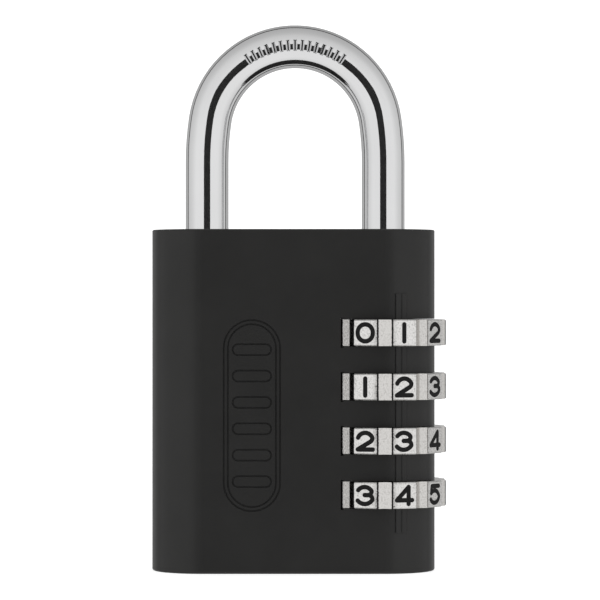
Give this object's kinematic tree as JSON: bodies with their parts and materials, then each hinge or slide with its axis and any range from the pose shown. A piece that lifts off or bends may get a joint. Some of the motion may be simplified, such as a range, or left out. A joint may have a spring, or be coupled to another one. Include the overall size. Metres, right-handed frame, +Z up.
{
  "type": "combination padlock",
  "caption": "Black resettable combination padlock with a round steel shackle and number wheels down one side; the shackle lifts and the wheels turn.",
  "frame": {"origin": "centre of the flat bottom of the lock body", "axes": "+Z up towards the shackle, front face towards -Y, number wheels on the +X side"},
  "size_m": [0.0519, 0.0222, 0.0965],
  "materials": {
    "black_coat": "satin black coating on a zinc die casting",
    "polished_steel": "polished and chrome plated",
    "wheel_nickel": "matt nickel plated die casting",
    "digit_enamel": "black paint in engraved digits",
    "sleeve_zinc": "dark passivated",
    "spring_steel": "bright drawn"
  },
  "bodies": {
    "case": {"lock_body": "black_coat", "bottom_plug": "black_coat", "heel_pin": "spring_steel", "sleeve_spring": "spring_steel", "shackle_spring": "spring_steel", "click_spring_1": "spring_steel", "click_spring_2": "spring_steel", "click_spring_3": "spring_steel", "click_spring_4": "spring_steel"},
    "shackle": {"shackle": "polished_steel"},
    "reset_carrier": {"reset_washer": "sleeve_zinc"},
    "wheel_1": {"number_wheel_1": "wheel_nickel", "digit_paint_1": "digit_enamel"},
    "sleeve_1": {"code_sleeve_1": "sleeve_zinc"},
    "wheel_2": {"number_wheel_2": "wheel_nickel", "digit_paint_2": "digit_enamel"},
    "sleeve_2": {"code_sleeve_2": "sleeve_zinc"},
    "wheel_3": {"number_wheel_3": "wheel_nickel", "digit_paint_3": "digit_enamel"},
    "sleeve_3": {"code_sleeve_3": "sleeve_zinc"},
    "wheel_4": {"number_wheel_4": "wheel_nickel", "digit_paint_4": "digit_enamel"},
    "sleeve_4": {"code_sleeve_4": "sleeve_zinc"}
  },
  "joints": [
    {"name": "shackle_lift", "type": "slide", "parent": "case", "child": "shackle", "axis": [0, 0, 1], "range_m": [0, 0.00943], "deforming": ["shackle_spring"]},
    {"name": "code_reset", "type": "slide", "parent": "case", "child": "reset_carrier", "axis": [0, 0, -1], "range_m": [0, 0.0015], "stiffness_N_per_m": 800, "springref_m": -0.0015, "deforming": ["sleeve_spring"]},
    {"name": "wheel_1_turn", "type": "hinge", "parent": "case", "child": "wheel_1", "pos_m": [0.0159, 0, 0.04209], "axis": [0, 0, 1], "continuous": true},
    {"name": "sleeve_1_turn", "type": "hinge", "parent": "reset_carrier", "child": "sleeve_1", "pos_m": [0.0159, 0, 0.04209], "axis": [0, 0, 1], "continuous": true},
    {"name": "wheel_2_turn", "type": "hinge", "parent": "case", "child": "wheel_2", "pos_m": [0.0159, 0, 0.03266], "axis": [0, 0, 1], "continuous": true},
    {"name": "sleeve_2_turn", "type": "hinge", "parent": "reset_carrier", "child": "sleeve_2", "pos_m": [0.0159, 0, 0.03266], "axis": [0, 0, 1], "continuous": true},
    {"name": "wheel_3_turn", "type": "hinge", "parent": "case", "child": "wheel_3", "pos_m": [0.0159, 0, 0.02323], "axis": [0, 0, 1], "continuous": true},
    {"name": "sleeve_3_turn", "type": "hinge", "parent": "reset_carrier", "child": "sleeve_3", "pos_m": [0.0159, 0, 0.02323], "axis": [0, 0, 1], "continuous": true},
    {"name": "wheel_4_turn", "type": "hinge", "parent": "case", "child": "wheel_4", "pos_m": [0.0159, 0, 0.0138], "axis": [0, 0, 1], "continuous": true},
    {"name": "sleeve_4_turn", "type": "hinge", "parent": "reset_carrier", "child": "sleeve_4", "pos_m": [0.0159, 0, 0.0138], "axis": [0, 0, 1], "continuous": true}
  ],
  "couplings": [
    {"joint": "sleeve_1_turn", "follows": "wheel_1_turn", "ratio": 1},
    {"joint": "sleeve_2_turn", "follows": "wheel_2_turn", "ratio": 1},
    {"joint": "sleeve_3_turn", "follows": "wheel_3_turn", "ratio": 1},
    {"joint": "sleeve_4_turn", "follows": "wheel_4_turn", "ratio": 1}
  ]
}
